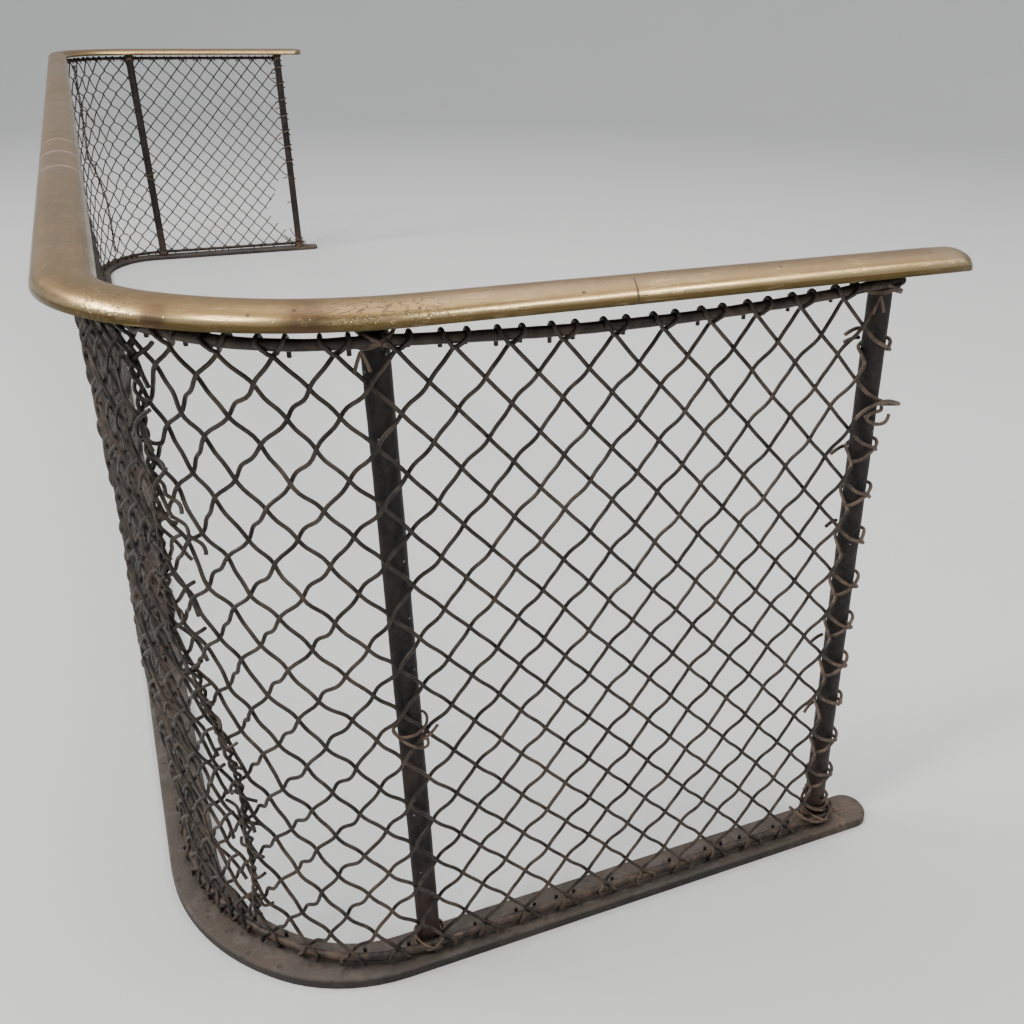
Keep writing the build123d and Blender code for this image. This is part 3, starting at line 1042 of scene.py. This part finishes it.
def aged_brass(effects):
    """Handled old brass: tan on top, golden flanks, dark lower edge, pits, scratches and stains; a painted
    highlight band on the flanks and a painted golden reflection on the near corner.
    """
    f = Finish("aged brass", effects)
    run = add(f.tree, "ShaderNodeUVMap", uv_map="run").outputs[0]
    crest = ((f.z - RAIL_Z) / RAIL_DOME).clamp()
    soft = f.effect("mottle", "Mask", Scale=34.0, Cover=0.5, Edge=0.14)
    fine = f.effect("mottle", "Fine", Scale=34.0)
    broad = f.effect("mottle", "Mask", Scale=7.0, Cover=0.5, Edge=0.16)
    pits = f.effect("pits", "Mask", Scale=300.0, Size=0.26, Share=0.10)
    specks = f.effect("pits", "Mask", Scale=950.0, Size=0.36, Share=0.22)
    drawn = f.effect("scratches", "Mask", place=run, Scale=520.0, Stretch=16.0, Share=0.5)
    # Painted highlight: a pale band low on the dome's flanks, all along the rail, drawn as the bright line
    # along its edge.
    scratch_line_and_highlight_band = crest.ramp(0.24, 0.34) * (1 - crest.ramp(0.42, 0.56))
    lower = 1 - crest.ramp(0.03, 0.26)
    golden, tan, deep = (0.34, 0.23, 0.095), (0.31, 0.215, 0.145), (0.20, 0.13, 0.062)
    colour = f.coats(
        golden,
        (crest.ramp(0.45, 0.95) * (1 - 0.5 * broad), tan),
        # Painted reflection: a warmer golden tint over the near corner, where the corner lights reflect.
        (f.near(on_near_corner(21, 28.6, 4.9), 0.12) * 0.6, (0.37, 0.24, 0.085)),
        (broad * 0.45, deep),
        (soft * 0.25, (0.25, 0.155, 0.075)),
        (fine.ramp(0.45, 0.75) * 0.25, (0.44, 0.32, 0.19)),
        ((1 - crest.ramp(0.30, 0.72)) * (0.45 + 0.25 * broad), (0.19, 0.13, 0.045)),
        # painted highlight band, pale brass
        (scratch_line_and_highlight_band * (0.7 - 0.4 * soft), (0.80, 0.62, 0.34)),
        (lower * (0.6 + 0.35 * soft), (0.075, 0.062, 0.026)),
        (drawn * 0.35, (0.62, 0.46, 0.27)),
    )
    # Three light scuff bands across the front, each this far inside the right arm
    for inside_arm in (0.415, 0.362, 0.306):
        across = f.x - (ARM_X - inside_arm) + (f.y - FRONT_Y) * 0.15
        band = 1 - across.size().ramp(0.6 * MM, 3.2 * MM)
        colour = f.blend(band * (0.25 + 0.45 * fine), colour, (0.80, 0.66, 0.52))
    # Stains and score marks of the near corner, and one fine crack across the arm
    stains = f.near(on_near_corner(-1.7, 64, 1.4), 0.011) + f.near(on_near_corner(17.2, 24.2, 1.9), 0.007)
    stains = stains * f.effect("mottle", "Mask", Scale=260.0, Cover=0.85, Edge=0.2)
    scored = f.near(on_near_corner(-5.5, 86.6, 3.9), 0.026) + f.near(on_near_corner(34, 14.6, 4.9), 0.016)
    gouges = f.effect("scratches", "Mask", Scale=210.0, Stretch=0.35, Share=0.9) * scored.clamp()
    crack = (f.y - (RAIL_END_Y - 0.1382) + (f.x - ARM_X) * 0.2).size().ramp(0.1 * MM, 0.5 * MM)
    crack = (1 - crack) * f.x.ramp(ARM_X + 1.0 * MM, ARM_X + 3.5 * MM)
    gouges = (gouges + crack).clamp()
    end = f.y.ramp(RAIL_END_Y - 0.030, RAIL_END_Y - 0.004)
    colour = f.coats(
        colour,
        (stains.clamp() * 0.75, (0.12, 0.07, 0.045)),
        (gouges * 0.85, (0.07, 0.055, 0.04)),
        ((pits * 0.8 + specks * 0.45).clamp(), (0.10, 0.065, 0.04)),
        (end * (0.35 + 0.5 * soft), (0.27, 0.225, 0.165)),
    )
    roughness = (0.17 + crest.ramp(0.42, 0.85) * 0.17 + soft * 0.07 + fine * 0.06
                 + pits * 0.3 + end * 0.04)
    metallic = 0.96 - 0.4 * (pits + gouges).clamp() - 0.25 * lower * soft
    height = f.effect("hammered", "Height", Scale=60.0, Grain=0.12) * (0.35 + end * 2.2)
    height = height - pits * 0.5 - specks * 0.15 - gouges * 0.5 - drawn * 0.08
    return f.done(colour, roughness, metallic, height, 0.16 * MM)


def bar_iron(effects):
    """Flat bar: brown rusty top, near-black edges, rustier ends; the lighter top over the darker edges is
    partly painted shade.
    """
    f = Finish("bar iron", effects)
    # Painted shade in part: the rounded edges and side faces keep the near-black while the top turns brown;
    # rust and flecks gather on the top as well.
    top = f.z.ramp(BASE_TOP - 1.7 * MM, BASE_TOP - 0.5 * MM)
    rust = f.effect("mottle", "Mask", Scale=26.0, Cover=0.45, Edge=0.1)
    flecks = f.effect("mottle", "Mask", Scale=150.0, Cover=0.42, Edge=0.07)
    fine = f.effect("mottle", "Fine", Scale=60.0)
    pits = f.effect("pits", "Mask", Scale=260.0, Size=0.42, Share=0.35)
    end = f.y.ramp(BASE_END_Y - 0.07, BASE_END_Y - 0.01)
    colour = f.coats(
        (0.022, 0.021, 0.020),
        (top, (0.064, 0.055, 0.047)),
        (rust * (0.2 + 0.45 * top), (0.082, 0.058, 0.044)),
        (flecks * (0.1 + 0.35 * top), (0.115, 0.10, 0.088)),
        (fine.ramp(0.5, 0.8) * 0.4, (0.055, 0.043, 0.036)),
        (end * (0.3 + 0.4 * flecks), (0.14, 0.095, 0.068)),
        (pits * 0.6, (0.045, 0.033, 0.03)),
    )
    roughness = 0.62 + 0.16 * rust + 0.1 * fine
    height = f.effect("hammered", "Height", Scale=110.0, Grain=0.5)
    height = height - pits * 0.6 + flecks * 0.25
    return f.done(colour, roughness, 0.35 - 0.3 * rust, height, 0.4 * MM)


def post_iron(effects):
    """Black iron with pale specks, rusty towards the foot."""
    f = Finish("post iron", effects)
    rust = f.effect("mottle", "Mask", Scale=48.0, Cover=0.36, Edge=0.1)
    fine = f.effect("mottle", "Fine", Scale=40.0)
    specks = f.effect("pits", "Mask", Scale=420.0, Size=0.24, Share=0.07)
    foot = 1 - f.z.ramp(0.008, 0.060)
    crust = (rust * 0.3 + foot * (0.25 + 0.5 * fine)).clamp()
    colour = f.coats(
        (0.013, 0.012, 0.012),
        (fine.ramp(0.4, 0.75), (0.032, 0.028, 0.026)),
        (crust, (0.085, 0.05, 0.034)),
        (specks * 0.8, (0.30, 0.27, 0.24)),
    )
    roughness = 0.5 + 0.2 * fine + 0.2 * crust
    height = f.effect("hammered", "Height", Scale=150.0, Grain=0.6)
    height = height + specks * 0.3 + crust * 0.5
    return f.done(colour, roughness, 0.5 - 0.4 * crust, height, 0.3 * MM)


def wire_iron(name, effects, dark, brown, rusty, cover):
    """Round wire or rod, dark where handled, brown and orange where it has rusted."""
    f = Finish(name, effects)
    patches = f.effect("mottle", "Mask", Scale=38.0, Cover=cover, Edge=0.14)
    grains = f.effect("mottle", "Mask", Scale=210.0, Cover=0.5, Edge=0.12)
    fine = f.effect("mottle", "Fine", Scale=110.0)
    low = 1 - f.z.ramp(0.012, 0.07)
    rust = (patches * (0.3 + 0.4 * grains) + low * 0.3 * grains).clamp()
    colour = f.coats(dark, (grains * 0.75, brown), (rust, rusty))
    roughness = 0.40 + 0.25 * rust + 0.15 * fine
    height = fine + grains * 0.6
    return f.done(colour, roughness, 0.6 - 0.5 * rust, height, 0.12 * MM)


def pale_floor(effects):
    """Plain pale floor and wall with the faintest mottle."""
    f = Finish("pale floor", effects)
    clouds = f.effect("mottle", "Mask", Scale=3.0, Cover=0.5, Edge=0.3)
    fine = f.effect("mottle", "Fine", Scale=60.0)
    colour = f.blend(clouds * 0.5 + fine * 0.25, (0.635, 0.635, 0.64), (0.60, 0.605, 0.605))
    return f.done(colour, 0.85 + fine * 0.1, 0.0, fine, 0.05 * MM)


effects = {
    "mottle": mottle_effect(), "pits": pit_effect(),
    "scratches": scratch_effect(), "hammered": hammer_effect(),
}
iron = post_iron(effects)
mesh_iron = wire_iron("mesh wire iron", effects, (0.022, 0.020, 0.019), (0.062, 0.050, 0.040),
                      (0.095, 0.062, 0.042), 0.34)
rod_iron = wire_iron("rod iron", effects, (0.020, 0.017, 0.015), (0.048, 0.037, 0.029),
                     (0.092, 0.058, 0.038), 0.45)
tie_iron = wire_iron("tie iron", effects, (0.05, 0.04, 0.033), (0.145, 0.108, 0.08),
                     (0.17, 0.105, 0.068), 0.5)

cut = woven_wire(mesh_iron)
post_loops(cut, tie_iron)
rod_lashings(tie_iron)
post_bands(tie_iron)
corner_lacing(mesh_iron)
base_bar(bar_iron(effects))
brass_rail(aged_brass(effects))
mesh_rods(rod_iron)
posts(iron)
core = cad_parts["rail_core"].data.materials
core.clear()
core.append(iron)


# ---------------------------------------------------------------- room, light and camera


def room(material):
    """Round floor that curves up into a wall, all round the screen."""
    flat, curve, top, around = 2.4, 1.3, 2.6, 72
    profile = [(0.0, 0.0), (flat / 2, 0.0), (flat, 0.0)]
    profile += [(flat + curve * math.sin(a), curve * (1 - math.cos(a)))
                for a in (math.pi / 2 * i / 10 for i in range(1, 11))]
    profile += [(flat + curve, 1.9), (flat + curve, top)]
    points = [(r * math.cos(math.tau * i / around), r * math.sin(math.tau * i / around), z)
              for r, z in profile[1:] for i in range(around)]
    points.append((0, 0, 0))
    middle = len(points) - 1
    faces = [(middle, i, (i + 1) % around) for i in range(around)]
    for r in range(len(profile) - 2):
        for i in range(around):
            j = (i + 1) % around
            faces.append((r * around + i, (r + 1) * around + i, (r + 1) * around + j, r * around + j))
    mesh = bpy.data.meshes.new("floor")
    mesh.from_pydata(points, [], faces)
    mesh.materials.append(material)
    for face in mesh.polygons:
        face.use_smooth = True
    floor = bpy.data.objects.new("floor", mesh)
    bpy.context.scene.collection.objects.link(floor)


def lights():
    """Soft daylight from above, and three small lights that the brass picks up along its edge."""
    world = bpy.data.worlds.new("soft room")
    bpy.context.scene.world = world
    world.use_nodes = True
    background = world.node_tree.nodes["Background"].inputs
    background["Color"].default_value = (0.80, 0.82, 0.86, 1)
    background["Strength"].default_value = 0.70
    for name, place, target, width, depth, power, warmth in (
        ("big soft light", (-0.1, 0.5, 2.3), (0.1, 0.1, 0.1), 2.0, 2.0, 34, (1, 0.98, 0.95)),
        ("arm strip", (1.5, 0.95, 1.85), (0.70, 0.05, 0.27), 1.1, 0.13, 16, (1, 0.97, 0.9)),
        ("corner light", (0.95, -1.10, 1.98), (0.685, -0.105, 0.27), 0.30, 0.45, 20, (1, 0.98, 0.94)),
        ("front light", (-0.14, -1.52, 1.47), (0.66, -0.138, 0.27), 0.85, 0.30, 30, (1, 0.98, 0.94)),
    ):
        data = bpy.data.lights.new(name, "AREA")
        data.shape = "RECTANGLE"
        data.size, data.size_y, data.energy = width, depth, power
        data.color = warmth
        light = bpy.data.objects.new(name, data)
        light.location = place
        light.rotation_euler = (Vector(target) - Vector(place)).to_track_quat("-Z", "Y").to_euler()
        bpy.context.scene.collection.objects.link(light)


def camera():
    """Camera beyond the right-hand arm, looking back along the hearth and down."""
    yaw, pitch, roll = 0.4495, 0.4886, 0.0235
    level = math.cos(pitch)
    ahead = Vector((-math.cos(yaw) * level, math.sin(yaw) * level, -math.sin(pitch)))
    right = ahead.cross(Vector((0, 0, 1))).normalized()
    up = right.cross(ahead)
    turned = right * math.cos(roll) + up * math.sin(roll)
    upright = up * math.cos(roll) - right * math.sin(roll)
    data = bpy.data.cameras.new("camera")
    data.lens = 37.75
    data.sensor_width = 36
    data.shift_x = -0.114
    data.shift_y = 0.0474
    data.clip_start = 0.01
    view = bpy.data.objects.new("camera", data)
    place = Vector((ARM_X + 0.320, CORNER_Y - 0.0677, 0.3547))
    facing = Matrix((turned, upright, -ahead)).transposed().to_4x4()
    view.matrix_world = Matrix.Translation(place) @ facing
    bpy.context.scene.collection.objects.link(view)
    bpy.context.scene.camera = view


room(pale_floor(effects))
lights()
camera()
